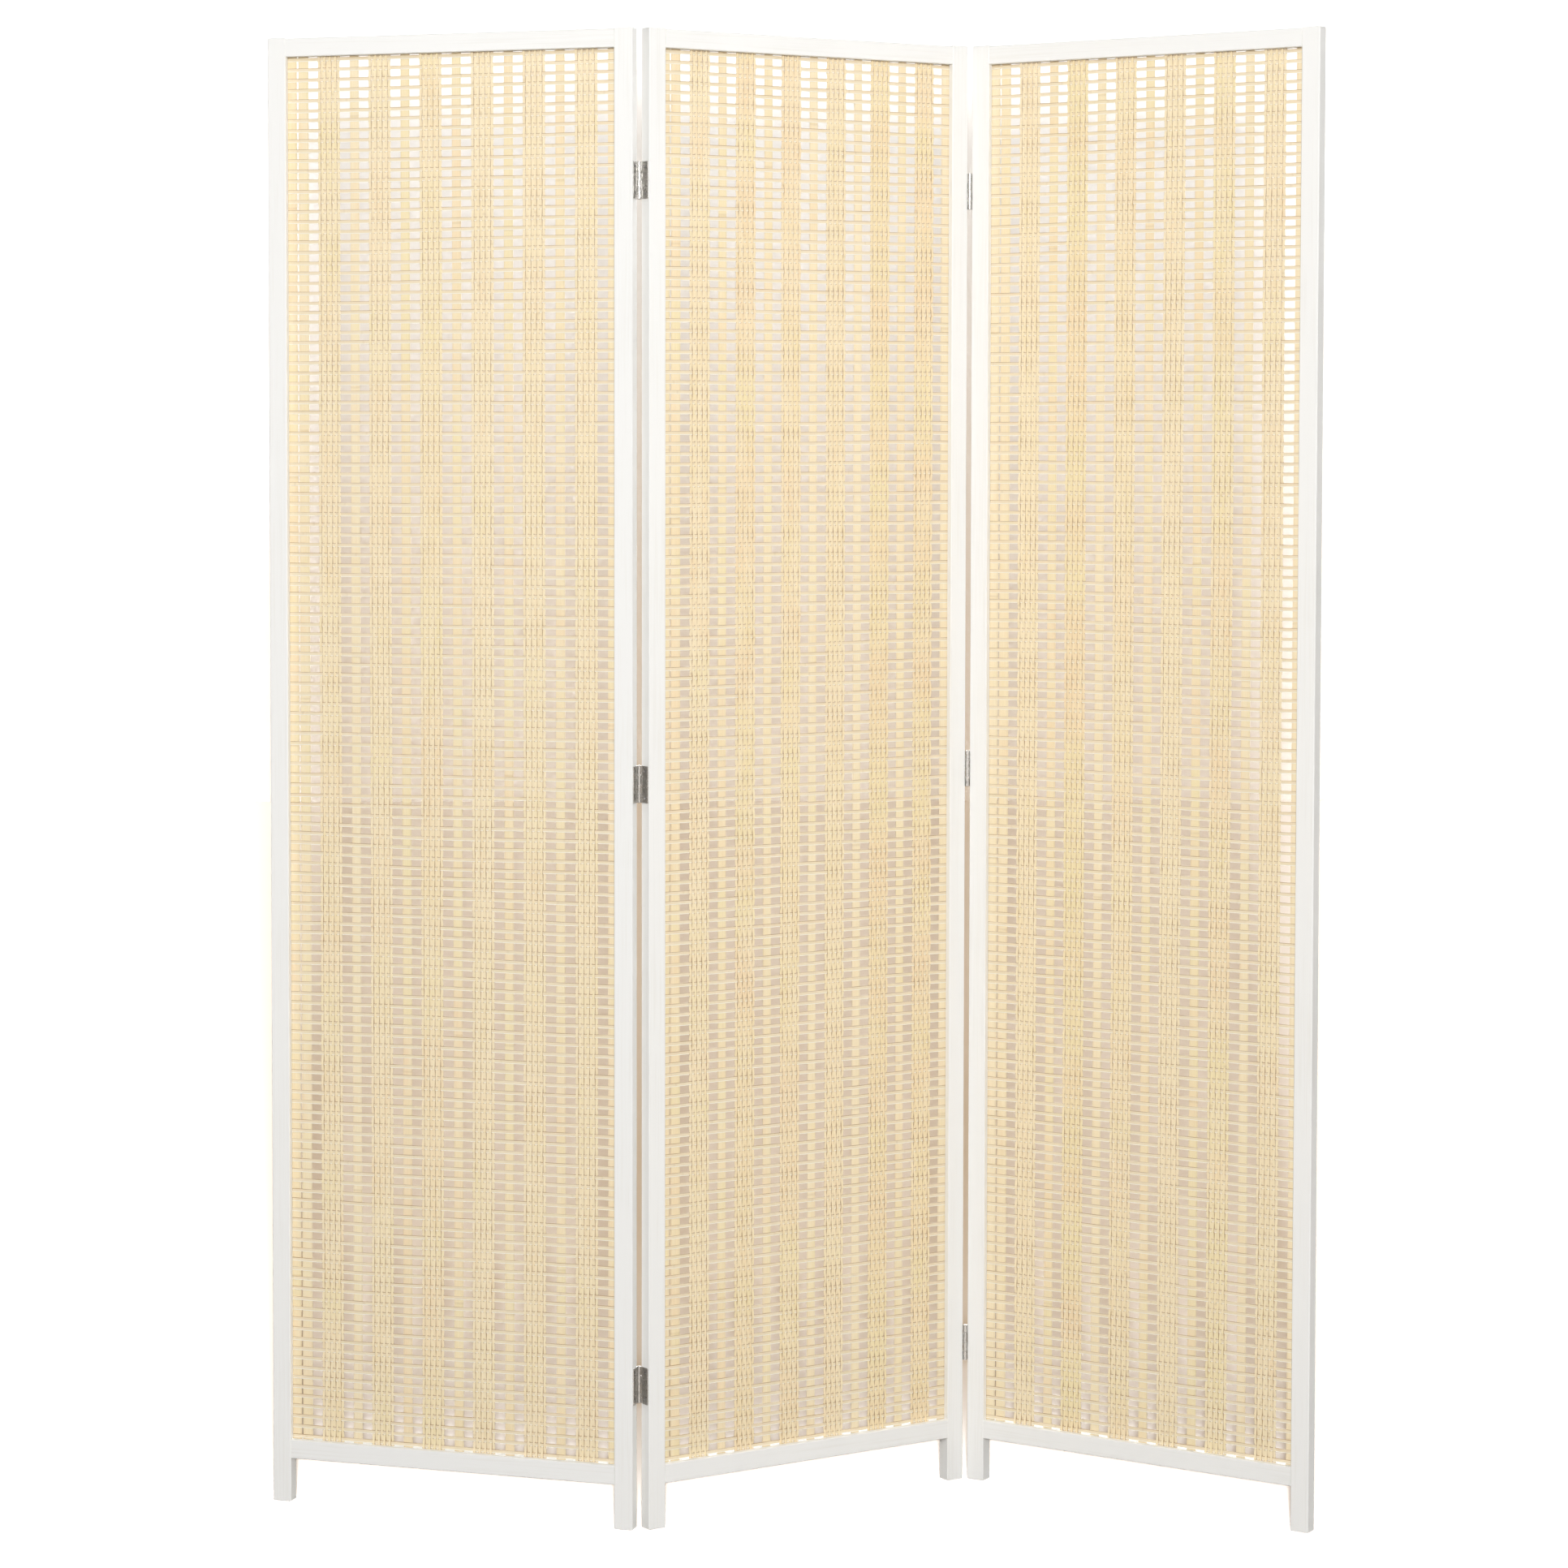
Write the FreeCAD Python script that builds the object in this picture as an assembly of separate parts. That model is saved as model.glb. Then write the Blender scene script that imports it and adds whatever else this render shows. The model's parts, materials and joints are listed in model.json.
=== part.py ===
import FreeCAD, Part
import math
import os

# Three panel folding screen: painted wood frames, woven bamboo infill and six butt hinges.
# Millimetres and degrees. X runs across the screen, Y from its front to its back, Z up.
# The origin is on the floor under the middle of the screen's outline.

# Panel frame
panel_height = 1700.0
panel_width = 440.0
frame_depth = 17.0
stile_width = 22.0
top_rail_height = 21.0
bottom_rail_height = 22.0
top_rail_drop = 1.0
leg_length = 51.0
edge_bevel = 0.9
end_bevel = 0.7
rail_edge_bevel = 0.8

# Joints of the frame
tenon_length = 12.0
tenon_thickness = 6.0
tenon_shoulder = 3.5
mortise_bottom_gap = 0.5
weave_bite = 5.0
groove_bottom_gap = 1.0
groove_fit = 0.05

# Weave
slat_thickness = 0.8
strip_thickness = 0.8
strip_height = 4.1
strip_pitch = 11.6
end_strip_offset = 3.4
band_count = 6
narrow_slats_per_band = 8
narrow_slat_width = 3.2
narrow_slat_gap = 0.12
single_slat_width = 10.9
left_edge_slat_width = 10.4
left_edge_slit = 1.9
left_inner_slat_width = 12.2
right_edge_slat_width = 9.6

# Hinges
hinge_height = 42.0
hinge_from_top = 170.0
hinge_from_floor = 164.0
leaf_thickness = 1.0
leaf_edge_margin = 1.7
leaf_corner_bevel = 1.2
pin_radius = 1.15
pin_running_clearance = 0.05
pin_end_height = 0.5
knuckles_per_hinge = 4
knuckle_gap = 0.3
knuckle_notch_clearance = 0.4
knuckle_roll_angle = 255.0
axis_standoff = 1.2

# Set of the three panels, as turns about the upright
middle_turn_angle = 30.0
left_fold_angle = 49.0
right_fold_angle = 65.0

cut_overrun = 2.0

UP = FreeCAD.Vector(0, 0, 1)
ACROSS = FreeCAD.Vector(1, 0, 0)

# Sizes that follow from those above
clear_width = panel_width - 2 * stile_width
window_bottom = leg_length + bottom_rail_height
window_top = panel_height - top_rail_drop - top_rail_height
weave_thickness = 2 * slat_thickness + strip_thickness
groove_width = weave_thickness + 2 * groove_fit
groove_depth = weave_bite + groove_bottom_gap
weave_front = (frame_depth - weave_thickness) / 2
barrel_radius = pin_radius + pin_running_clearance + leaf_thickness
fold_gap = 2 * barrel_radius
leaf_width = axis_standoff + frame_depth - leaf_edge_margin


def box(x0, x1, y0, y1, z0, z1):
    """A block between two corners."""
    solid = Part.makeBox(x1 - x0, y1 - y0, z1 - z0)
    solid.translate(FreeCAD.Vector(x0, y0, z0))
    return solid


def edges_along(solid, direction, keep=lambda middle: True):
    """The straight edges along a direction whose middle point passes the test."""
    found = []
    for edge in solid.Edges:
        ends = [vertex.Point for vertex in edge.Vertexes]
        if len(ends) != 2:
            continue
        run = ends[1] - ends[0]
        straight = abs(abs(run.dot(direction)) - edge.Length) < edge.Length / 1000
        if straight and keep((ends[0] + ends[1]) / 2):
            found.append(edge)
    return found


# Frame pieces, each in its panel's own place: x from the left edge, y from the front face

def stile(is_left):
    """An upright of the frame, with its groove, two mortises and eased edges."""
    x0 = 0 if is_left else panel_width - stile_width
    wood = box(x0, x0 + stile_width, 0, frame_depth, 0, panel_height)
    wood = wood.makeChamfer(edge_bevel, edges_along(wood, UP))
    for end in (0, panel_height):
        rim = [edge for edge in wood.Edges if flat_at(edge, end)]
        wood = wood.makeChamfer(end_bevel, rim)
    wood = wood.cut(side_cut(is_left, groove_depth, groove_width, leg_length, panel_height - top_rail_drop))
    for is_top in (True, False):
        low, high = tenon_span(is_top)
        depth = tenon_length + mortise_bottom_gap
        wood = wood.cut(side_cut(is_left, depth, tenon_thickness, low, high))
    return wood


def flat_at(edge, height):
    """Whether an edge lies level at a height."""
    return abs(edge.BoundBox.ZMin - height) + abs(edge.BoundBox.ZMax - height) < end_bevel / 2


def side_cut(is_left, depth, width, z0, z1):
    """A slot cut into a stile from the face that looks into the panel."""
    y0 = (frame_depth - width) / 2
    if is_left:
        return box(stile_width - depth, stile_width + cut_overrun, y0, y0 + width, z0, z1)
    inner = panel_width - stile_width
    return box(inner - cut_overrun, inner + depth, y0, y0 + width, z0, z1)


def tenon_span(is_top):
    """Lower and upper side of a rail's tenon, which clears the rail's groove."""
    if is_top:
        return window_top + groove_depth, panel_height - top_rail_drop - tenon_shoulder
    return leg_length + tenon_shoulder, window_bottom - groove_depth


def rail(is_top):
    """A cross rail with its groove and a stub tenon at each end."""
    z0 = window_top if is_top else leg_length
    z1 = z0 + (top_rail_height if is_top else bottom_rail_height)
    x0, x1 = stile_width, panel_width - stile_width
    wood = box(x0, x1, 0, frame_depth, z0, z1)
    wood = wood.makeChamfer(rail_edge_bevel, edges_along(wood, ACROSS))
    low, high = tenon_span(is_top)
    y0 = (frame_depth - tenon_thickness) / 2
    tenons = box(x0 - tenon_length, x1 + tenon_length, y0, y0 + tenon_thickness, low, high)
    y0 = (frame_depth - groove_width) / 2
    z0, z1 = (z0 - cut_overrun, z0 + groove_depth) if is_top else (z1 - groove_depth, z1 + cut_overrun)
    groove = box(x0 - cut_overrun, x1 + cut_overrun, y0, y0 + groove_width, z0, z1)
    return wood.fuse(tenons).cut(groove).removeSplitter()


# Weave: level strips between two layers of upright slats

def strip_heights():
    """Height of the middle of each level strip, evenly spread over the window."""
    first = window_bottom + end_strip_offset
    last = window_top - end_strip_offset
    steps = round((last - first) / strip_pitch)
    return [first + (last - first) * step / steps for step in range(steps + 1)]


def cross_strips():
    """The level strips, with both ends in the stiles' grooves."""
    y0 = weave_front + slat_thickness
    x0 = stile_width - weave_bite
    x1 = panel_width - stile_width + weave_bite
    strips = []
    for z in strip_heights():
        strips.append(box(x0, x1, y0, y0 + strip_thickness, z - strip_height / 2, z + strip_height / 2))
    return strips


def slat(x0, width, in_front):
    """One upright slat, with both ends in the rails' grooves."""
    y0 = weave_front if in_front else weave_front + slat_thickness + strip_thickness
    return box(x0, x0 + width, y0, y0 + slat_thickness, window_bottom - weave_bite, window_top + weave_bite)


def band_width():
    """Width of one dense band of narrow slats."""
    gaps = (narrow_slats_per_band - 1) * narrow_slat_gap
    return narrow_slats_per_band * narrow_slat_width + gaps


def open_column_width():
    """Width of the open columns, which share what the slats leave."""
    left_edge = left_edge_slat_width + left_edge_slit + left_inner_slat_width
    singles = (band_count - 1) * single_slat_width
    solid = left_edge + singles + band_count * band_width() + right_edge_slat_width
    return (clear_width - solid) / (2 * band_count)


def band_lefts():
    """Left side of each dense band."""
    first = stile_width + left_edge_slat_width + left_edge_slit + left_inner_slat_width
    first += open_column_width()
    pitch = band_width() + 2 * open_column_width() + single_slat_width
    return [first + band * pitch for band in range(band_count)]


def narrow_slats(in_front):
    """Every second narrow slat of each band: those that pass in front, or those behind."""
    step = narrow_slat_width + narrow_slat_gap
    slats = []
    for left in band_lefts():
        for place in range(0 if in_front else 1, narrow_slats_per_band, 2):
            slats.append(slat(left + place * step, narrow_slat_width, in_front))
    return slats


def wide_slats():
    """The single slats between the bands and the slats beside the stiles."""
    slats = []
    edge_width = left_edge_slat_width + weave_bite
    slats.append(slat(stile_width - weave_bite, edge_width, False))
    inner_left = stile_width + left_edge_slat_width + left_edge_slit
    slats.append(slat(inner_left, left_inner_slat_width, False))
    for left in band_lefts()[:-1]:
        slats.append(slat(left + band_width() + open_column_width(), single_slat_width, False))
    right = panel_width - stile_width - right_edge_slat_width
    slats.append(slat(right, right_edge_slat_width + weave_bite, False))
    return slats


# Hinges. A hinge's own place: the pin stands on the Z axis, y runs inward over the stiles'
# edges, and side is 1 for the leaf at high x, which a side panel carries, and -1 for the other.

def leaf_side(panel_name):
    """The side of a hinge on which a panel's leaf lies."""
    return -1 if panel_name == "middle" else 1


def hinge_levels():
    """Height of the middle of each hinge."""
    upper = panel_height - hinge_from_top
    return {"upper": upper, "middle": panel_height / 2, "lower": hinge_from_floor}


def knuckle_span(index):
    """Lower and upper end of a knuckle, counted from the top."""
    pitch = (hinge_height + knuckle_gap) / knuckles_per_hinge
    top = hinge_height / 2 - index * pitch
    return top - pitch + knuckle_gap, top


def leaf(panel_name):
    """A panel's leaf, a flat plate with every second knuckle of the barrel.

    The pin turns freely in a side panel's leaf and is held tight in the middle panel's.
    """
    side = leaf_side(panel_name)
    bore_radius = pin_radius if panel_name == "middle" else pin_radius + pin_running_clearance
    first_owned = 1 if panel_name == "middle" else 0
    faces = sorted((side * bore_radius, side * barrel_radius))
    tongue_length = barrel_radius + knuckle_notch_clearance
    half = hinge_height / 2
    metal = box(faces[0], faces[1], tongue_length, leaf_width, -half, half)
    corners = edges_along(metal, ACROSS, lambda middle: middle.y > leaf_width / 2)
    metal = metal.makeChamfer(leaf_corner_bevel, corners)
    for index in range(first_owned, knuckles_per_hinge, 2):
        metal = metal.fuse(knuckle(side, bore_radius, tongue_length, index))
    return metal.removeSplitter()


def knuckle(side, bore_radius, tongue_length, index):
    """A tongue of the leaf's sheet rolled round the pin, drawn in plan and raised to its height."""
    low, high = knuckle_span(index)

    def rolled(radius, share):
        turn = math.radians(knuckle_roll_angle * share)
        return FreeCAD.Vector(side * radius * math.cos(turn), -radius * math.sin(turn), low)

    def arc(radius):
        return Part.Arc(rolled(radius, 0), rolled(radius, 0.5), rolled(radius, 1)).toShape()

    root_inner = FreeCAD.Vector(side * bore_radius, tongue_length, low)
    root_outer = FreeCAD.Vector(side * barrel_radius, tongue_length, low)
    outline = Part.Wire([
        arc(barrel_radius),
        Part.makeLine(rolled(barrel_radius, 1), rolled(bore_radius, 1)),
        arc(bore_radius),
        Part.makeLine(rolled(bore_radius, 0), root_inner),
        Part.makeLine(root_inner, root_outer),
        Part.makeLine(root_outer, rolled(barrel_radius, 0)),
    ])
    return Part.Face(outline).extrude(FreeCAD.Vector(0, 0, high - low))


def pin():
    """The hinge pin, which stands a little out of both ends of the barrel."""
    half = hinge_height / 2 + pin_end_height
    return Part.makeCylinder(pin_radius, 2 * half, FreeCAD.Vector(0, 0, -half), UP)


# Where things stand. The left fold has its pins behind the back faces. The right fold has
# them before the front faces.

def fold_axis_in_panel(fold_name, panel_name):
    """The foot of a fold's upright axis in a panel's own place."""
    half_gap = fold_gap / 2
    at_left_edge = (fold_name == "left") == (panel_name == "middle")
    x = -half_gap if at_left_edge else panel_width + half_gap
    y = frame_depth + axis_standoff if fold_name == "left" else -axis_standoff
    return FreeCAD.Vector(x, y, 0)


def hinge_in_panel(fold_name, panel_name, level):
    """Placement of a hinge's own axes in a panel."""
    at = fold_axis_in_panel(fold_name, panel_name) + FreeCAD.Vector(0, 0, level)
    return FreeCAD.Placement(at, FreeCAD.Rotation(UP, 180 if fold_name == "left" else 0))


def panel_placements():
    """Placement of each panel, with the middle panel's left front corner at the origin."""
    placements = {"middle": FreeCAD.Placement(FreeCAD.Vector(), FreeCAD.Rotation(UP, middle_turn_angle))}
    for name, fold_angle in (("left", left_fold_angle), ("right", right_fold_angle)):
        turn = FreeCAD.Rotation(UP, middle_turn_angle - fold_angle)
        axis = placements["middle"].multVec(fold_axis_in_panel(name, "middle"))
        placements[name] = FreeCAD.Placement(axis - turn.multVec(fold_axis_in_panel(name, name)), turn)
    return placements


def panel_nodes(name):
    """The wood and bamboo of one panel, each node a list of solids."""
    return {
        name + "_panel_left_stile": [stile(True)],
        name + "_panel_right_stile": [stile(False)],
        name + "_panel_top_rail": [rail(True)],
        name + "_panel_bottom_rail": [rail(False)],
        name + "_panel_cross_strips": cross_strips(),
        name + "_panel_front_narrow_slats": narrow_slats(True),
        name + "_panel_back_narrow_slats": narrow_slats(False),
        name + "_panel_wide_slats": wide_slats(),
    }


def hinge_nodes(fold_name, level_name, level):
    """The metal of one hinge: each node's solids with the panel that carries them."""
    prefix = fold_name + "_fold_" + level_name + "_hinge_"
    pieces = {
        prefix + "side_leaf": (fold_name, [leaf(fold_name)]),
        prefix + "middle_leaf": ("middle", [leaf("middle")]),
        prefix + "pin": ("middle", [pin()]),
    }
    for panel_name, solids in pieces.values():
        for solid in solids:
            solid.Placement = hinge_in_panel(fold_name, panel_name, level)
    return pieces


def screen_nodes():
    """Every node of the screen, at rest, standing on the floor round the origin."""
    placements = panel_placements()
    nodes = {}
    for name, placement in placements.items():
        for node, solids in panel_nodes(name).items():
            nodes[node] = placed(solids, placement)
    for fold_name in ("left", "right"):
        for level_name, level in hinge_levels().items():
            for node, (panel_name, solids) in hinge_nodes(fold_name, level_name, level).items():
                nodes[node] = placed(solids, placements[panel_name])
    extent = Part.makeCompound(list(nodes.values())).optimalBoundingBox(False, False)
    to_origin = FreeCAD.Vector(-extent.Center.x, -extent.Center.y, -extent.ZMin)
    for shape in nodes.values():
        shape.translate(to_origin)
    for fold_name in ("left", "right"):
        axis = placements["middle"].multVec(fold_axis_in_panel(fold_name, "middle")) + to_origin
        print("%s fold axis at %.4f %.4f" % (fold_name, axis.x, axis.y))
    print("outline %.3f by %.3f by %.3f" % (extent.XLength, extent.YLength, extent.ZLength))
    return nodes


def placed(solids, placement):
    """A node's solids, moved from their panel's own place to where the panel stands."""
    moved = []
    for solid in solids:
        copy = solid.copy()
        copy.Placement = placement.multiply(solid.Placement)
        moved.append(copy)
    return moved[0] if len(moved) == 1 else Part.makeCompound(moved)


def main():
    """Build every node and write one STEP file for each."""
    os.makedirs("parts", exist_ok=True)
    for node, shape in screen_nodes().items():
        shape.exportStep("parts/" + node + ".step")


main()
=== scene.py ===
"""Looks of a folding screen: three painted wood frames, woven bamboo infill and six butt hinges.

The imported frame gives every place. The wood keeps the frame's own meshes and gets its paint here.
The bamboo and the hinges are modelled here, with the weave, the rolled knuckles and the screws.
Lengths are metres and angles are degrees, unless a name says otherwise.
"""

import json
import logging
import math
from dataclasses import dataclass, field
from enum import Enum

import bmesh
import bpy
from mathutils import Matrix, Vector, noise


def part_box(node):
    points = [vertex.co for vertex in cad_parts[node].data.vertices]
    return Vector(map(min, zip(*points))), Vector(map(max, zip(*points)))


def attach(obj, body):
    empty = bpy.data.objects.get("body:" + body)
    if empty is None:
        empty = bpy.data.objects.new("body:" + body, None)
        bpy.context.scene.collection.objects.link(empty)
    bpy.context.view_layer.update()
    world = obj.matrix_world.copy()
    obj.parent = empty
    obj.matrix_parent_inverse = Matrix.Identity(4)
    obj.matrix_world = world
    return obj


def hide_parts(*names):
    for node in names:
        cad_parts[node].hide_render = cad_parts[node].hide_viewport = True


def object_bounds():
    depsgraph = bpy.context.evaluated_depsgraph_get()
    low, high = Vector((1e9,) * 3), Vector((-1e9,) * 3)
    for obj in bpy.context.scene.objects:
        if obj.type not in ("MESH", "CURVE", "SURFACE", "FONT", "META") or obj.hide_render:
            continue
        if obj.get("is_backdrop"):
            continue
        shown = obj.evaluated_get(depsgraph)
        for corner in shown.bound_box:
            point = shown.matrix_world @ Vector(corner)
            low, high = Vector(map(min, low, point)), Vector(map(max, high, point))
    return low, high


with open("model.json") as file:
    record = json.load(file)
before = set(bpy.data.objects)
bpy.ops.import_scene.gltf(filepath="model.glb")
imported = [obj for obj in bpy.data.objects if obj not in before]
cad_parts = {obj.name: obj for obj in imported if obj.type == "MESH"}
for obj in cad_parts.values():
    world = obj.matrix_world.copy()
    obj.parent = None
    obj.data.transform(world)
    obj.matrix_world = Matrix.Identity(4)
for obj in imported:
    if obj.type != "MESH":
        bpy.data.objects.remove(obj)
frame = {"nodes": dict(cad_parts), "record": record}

log = logging.getLogger("folding_screen")

Colour = tuple[float, float, float, float]
Span = tuple[float, float]
Socket = bpy.types.NodeSocket
Material = bpy.types.Material
Mesh = bmesh.types.BMesh
Vert = bmesh.types.BMVert
Edge = bmesh.types.BMEdge
Face = bmesh.types.BMFace

MM = 0.001
WHITE: Colour = (1, 1, 1, 1)
RISING: Span = (0.0, 1.0)
FALLING: Span = (1.0, 0.0)
NOISE_REACH: Span = (0.3, 0.7)  # where nearly all of a noise lies
CRISP_ANGLE = math.radians(40)  # edges that turn by more than this stay crisp


class PanelName(Enum):
    """The three panels, from left to right."""

    LEFT = "left"
    MIDDLE = "middle"
    RIGHT = "right"


class FoldName(Enum):
    """The two folds, named for the side panel that each one carries."""

    LEFT = "left"
    RIGHT = "right"


class HingeLevel(Enum):
    """The three hinges of a fold."""

    UPPER = "upper"
    MIDDLE = "middle"
    LOWER = "lower"


class Layer(Enum):
    """Which side of the first level strip a slat passes."""

    FRONT = 0
    BACK = 1


class Member(Enum):
    """The two kinds of frame member, by the way their grain runs."""

    UPRIGHT = "upright"
    RAIL = "rail"


# Shader graphs

@dataclass
class ShaderGraph:
    """A node tree, with short calls that add and join its nodes."""

    tree: bpy.types.NodeTree

    @classmethod
    def blank(cls, owner: bpy.types.ID) -> "ShaderGraph":
        """Empties the node tree of a material or a world.

        Args:
            owner: The material or the world.

        Returns:
            Its graph.
        """
        owner.use_nodes = True
        owner.node_tree.nodes.clear()
        return cls(owner.node_tree)

    def node(self, kind: str, *sources: object, **settings: object) -> bpy.types.Node:
        """Adds a node.

        Args:
            kind: Blender's name of the node type.
            *sources: What its first inputs get, in their order.
            **settings: Properties of the node, such as an operation.

        Returns:
            The new node.
        """
        made = self.tree.nodes.new(kind)
        for name, value in settings.items():
            setattr(made, name, value)
        for source, target in zip(sources, made.inputs):
            self.join(source, target)
        return made

    def join(self, source: object, target: Socket) -> None:
        """Feeds a socket.

        Args:
            source: Another socket, which is linked to it, or a plain value, which is set on it.
            target: The socket.
        """
        if isinstance(source, Socket):
            self.tree.links.new(source, target)
        else:
            target.default_value = source

    def math(self, operation: str, first: object, second: object = 0.0,
             clamp: bool = False) -> Socket:
        """Does one sum, such as ADD. With clamp, the result stays between 0 and 1."""
        return self.node("ShaderNodeMath", first, second, operation=operation,
                         use_clamp=clamp).outputs[0]

    def times(self, first: object, second: object, clamp: bool = False) -> Socket:
        """Multiplies two sockets or numbers."""
        return self.math("MULTIPLY", first, second, clamp)

    def apart(self, first: object, second: object) -> Socket:
        """Gives how far two sockets or numbers are apart."""
        return self.math("ABSOLUTE", self.math("SUBTRACT", first, second))

    def rescale(self, value: object, span: Span, target: Span = RISING) -> Socket:
        """Moves a value from one range to another, smoothly and without leaving it."""
        return self.node("ShaderNodeMapRange", value, *span, *target,
                         interpolation_type="SMOOTHSTEP").outputs[0]

    def mix(self, share: object, first: object, second: object) -> Socket:
        """Mixes two colours.

        Args:
            share: How much of the second colour there is.
            first: The first colour.
            second: The second colour.

        Returns:
            The socket that holds the mixed colour.
        """
        made = self.node("ShaderNodeMix", share, data_type="RGBA")
        self.join(first, made.inputs[6])
        self.join(second, made.inputs[7])
        return made.outputs[2]

    def attribute(self, name: str) -> Socket:
        """Reads one of the piece's own numbers."""
        return self.node("ShaderNodeAttribute", attribute_name=name).outputs["Fac"]

    def object_place(self, turn: float = 0.0, stretch: Vector = Vector((1, 1, 1))) -> Socket:
        """Reads the place on the piece.

        Args:
            turn: How far the axes are turned about the upright.
            stretch: What the place is then multiplied by along each axis.

        Returns:
            The socket that holds the place.
        """
        turned = self.node("ShaderNodeMapping", self.node("ShaderNodeTexCoord").outputs["Object"])
        turned.inputs["Rotation"].default_value = (0, 0, -math.radians(turn))
        stretched = self.node("ShaderNodeMapping", turned.outputs[0])
        stretched.inputs["Scale"].default_value = stretch
        return stretched.outputs[0]

    def place(self, *numbers: object) -> Socket:
        """Joins up to three numbers into a place for a texture."""
        return self.node("ShaderNodeCombineXYZ", *numbers).outputs[0]

    def patch_place(self, over: object, along: object, width: float, length: float) -> Socket:
        """Gives a place on a ribbon, counted in patches of a width and a length."""
        return self.place(self.math("DIVIDE", over, width), self.math("DIVIDE", along, length))

    def noise(self, place: object, scale: float = 1.0, detail: float = 2.0,
              roughness: float = 0.5) -> Socket:
        """Reads a cloudy pattern around 0.5.

        Args:
            place: Where it is read.
            scale: How fine it is.
            detail: How many finer layers it has.
            roughness: How much each finer layer counts.

        Returns:
            The socket that holds its value.
        """
        made = self.node("ShaderNodeTexNoise", place)
        for name, value in (("Scale", scale), ("Detail", detail), ("Roughness", roughness)):
            made.inputs[name].default_value = value
        return made.outputs["Fac"]

    def bump(self, height: object, distance: float, strength: float,
             below: object = None) -> Socket:
        """Turns a height into a normal.

        Args:
            height: The height, from 0 to 1.
            distance: How far it rises.
            strength: How much it counts.
            below: The normal that it lies on, where there is one.

        Returns:
            The socket that holds the normal.
        """
        made = self.node("ShaderNodeBump")
        for name, value in (("Distance", distance), ("Strength", strength), ("Height", height)):
            self.join(value, made.inputs[name])
        if below is not None:
            self.join(below, made.inputs["Normal"])
        return made.outputs[0]


def new_material(name: str) -> tuple[Material, ShaderGraph, bpy.types.Node]:
    """Makes a material with a bare principled shader.

    Args:
        name: The material's name.

    Returns:
        The material, its graph and its shader node.
    """
    material = bpy.data.materials.new(name)
    material.use_nodes = True
    graph = ShaderGraph(material.node_tree)
    return material, graph, material.node_tree.nodes["Principled BSDF"]


# Finishes. A relief is how far a pattern rises and how much it counts.

@dataclass(frozen=True)
class WhitePaint:
    """Satin white paint over softwood, whose grain shows faintly through it."""

    colour: Colour = (0.915, 0.907, 0.882, 1)
    thin_colour: Colour = (0.885, 0.872, 0.838, 1)
    grain_length: float = 0.12
    grain_width: float = 0.0022
    grain_relief: Span = (0.08 * MM, 0.35)
    brush_width: float = 0.0009
    brush_relief: Span = (0.03 * MM, 0.4)
    cloud_scale: float = 7.0
    cloud_share: float = 0.5
    thin_span: Span = (0.72, 0.98)
    roughness: Span = (0.38, 0.52)

    def make(self, member: Member, turn: float) -> Material:
        """Makes the paint for one kind of member.

        Args:
            member: Which way the wood's grain runs.
            turn: The panel's turn about the upright.

        Returns:
            The material.
        """
        material, graph, shader = new_material(f"white_paint_{member.value}_{turn:.0f}")
        fine, long = 1 / self.grain_width, 1 / self.grain_length
        upright = member is Member.UPRIGHT
        stretch = Vector((fine, fine, long)) if upright else Vector((long, fine, fine))
        on_grain = graph.object_place(turn, stretch)
        grain = graph.noise(on_grain, detail=3.0, roughness=0.6)
        brush = graph.noise(on_grain, self.grain_width / self.brush_width, detail=1.0)
        cloud = graph.noise(graph.object_place(turn), self.cloud_scale, detail=3.0)
        thin = graph.math("ADD", grain, graph.times(cloud, self.cloud_share))
        colour = graph.mix(graph.rescale(thin, self.thin_span), self.colour, self.thin_colour)
        graph.join(colour, shader.inputs["Base Color"])
        graph.join(graph.rescale(cloud, NOISE_REACH, self.roughness), shader.inputs["Roughness"])
        grained = graph.bump(grain, *self.grain_relief)
        graph.join(graph.bump(brush, *self.brush_relief, grained), shader.inputs["Normal"])
        return material


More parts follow.
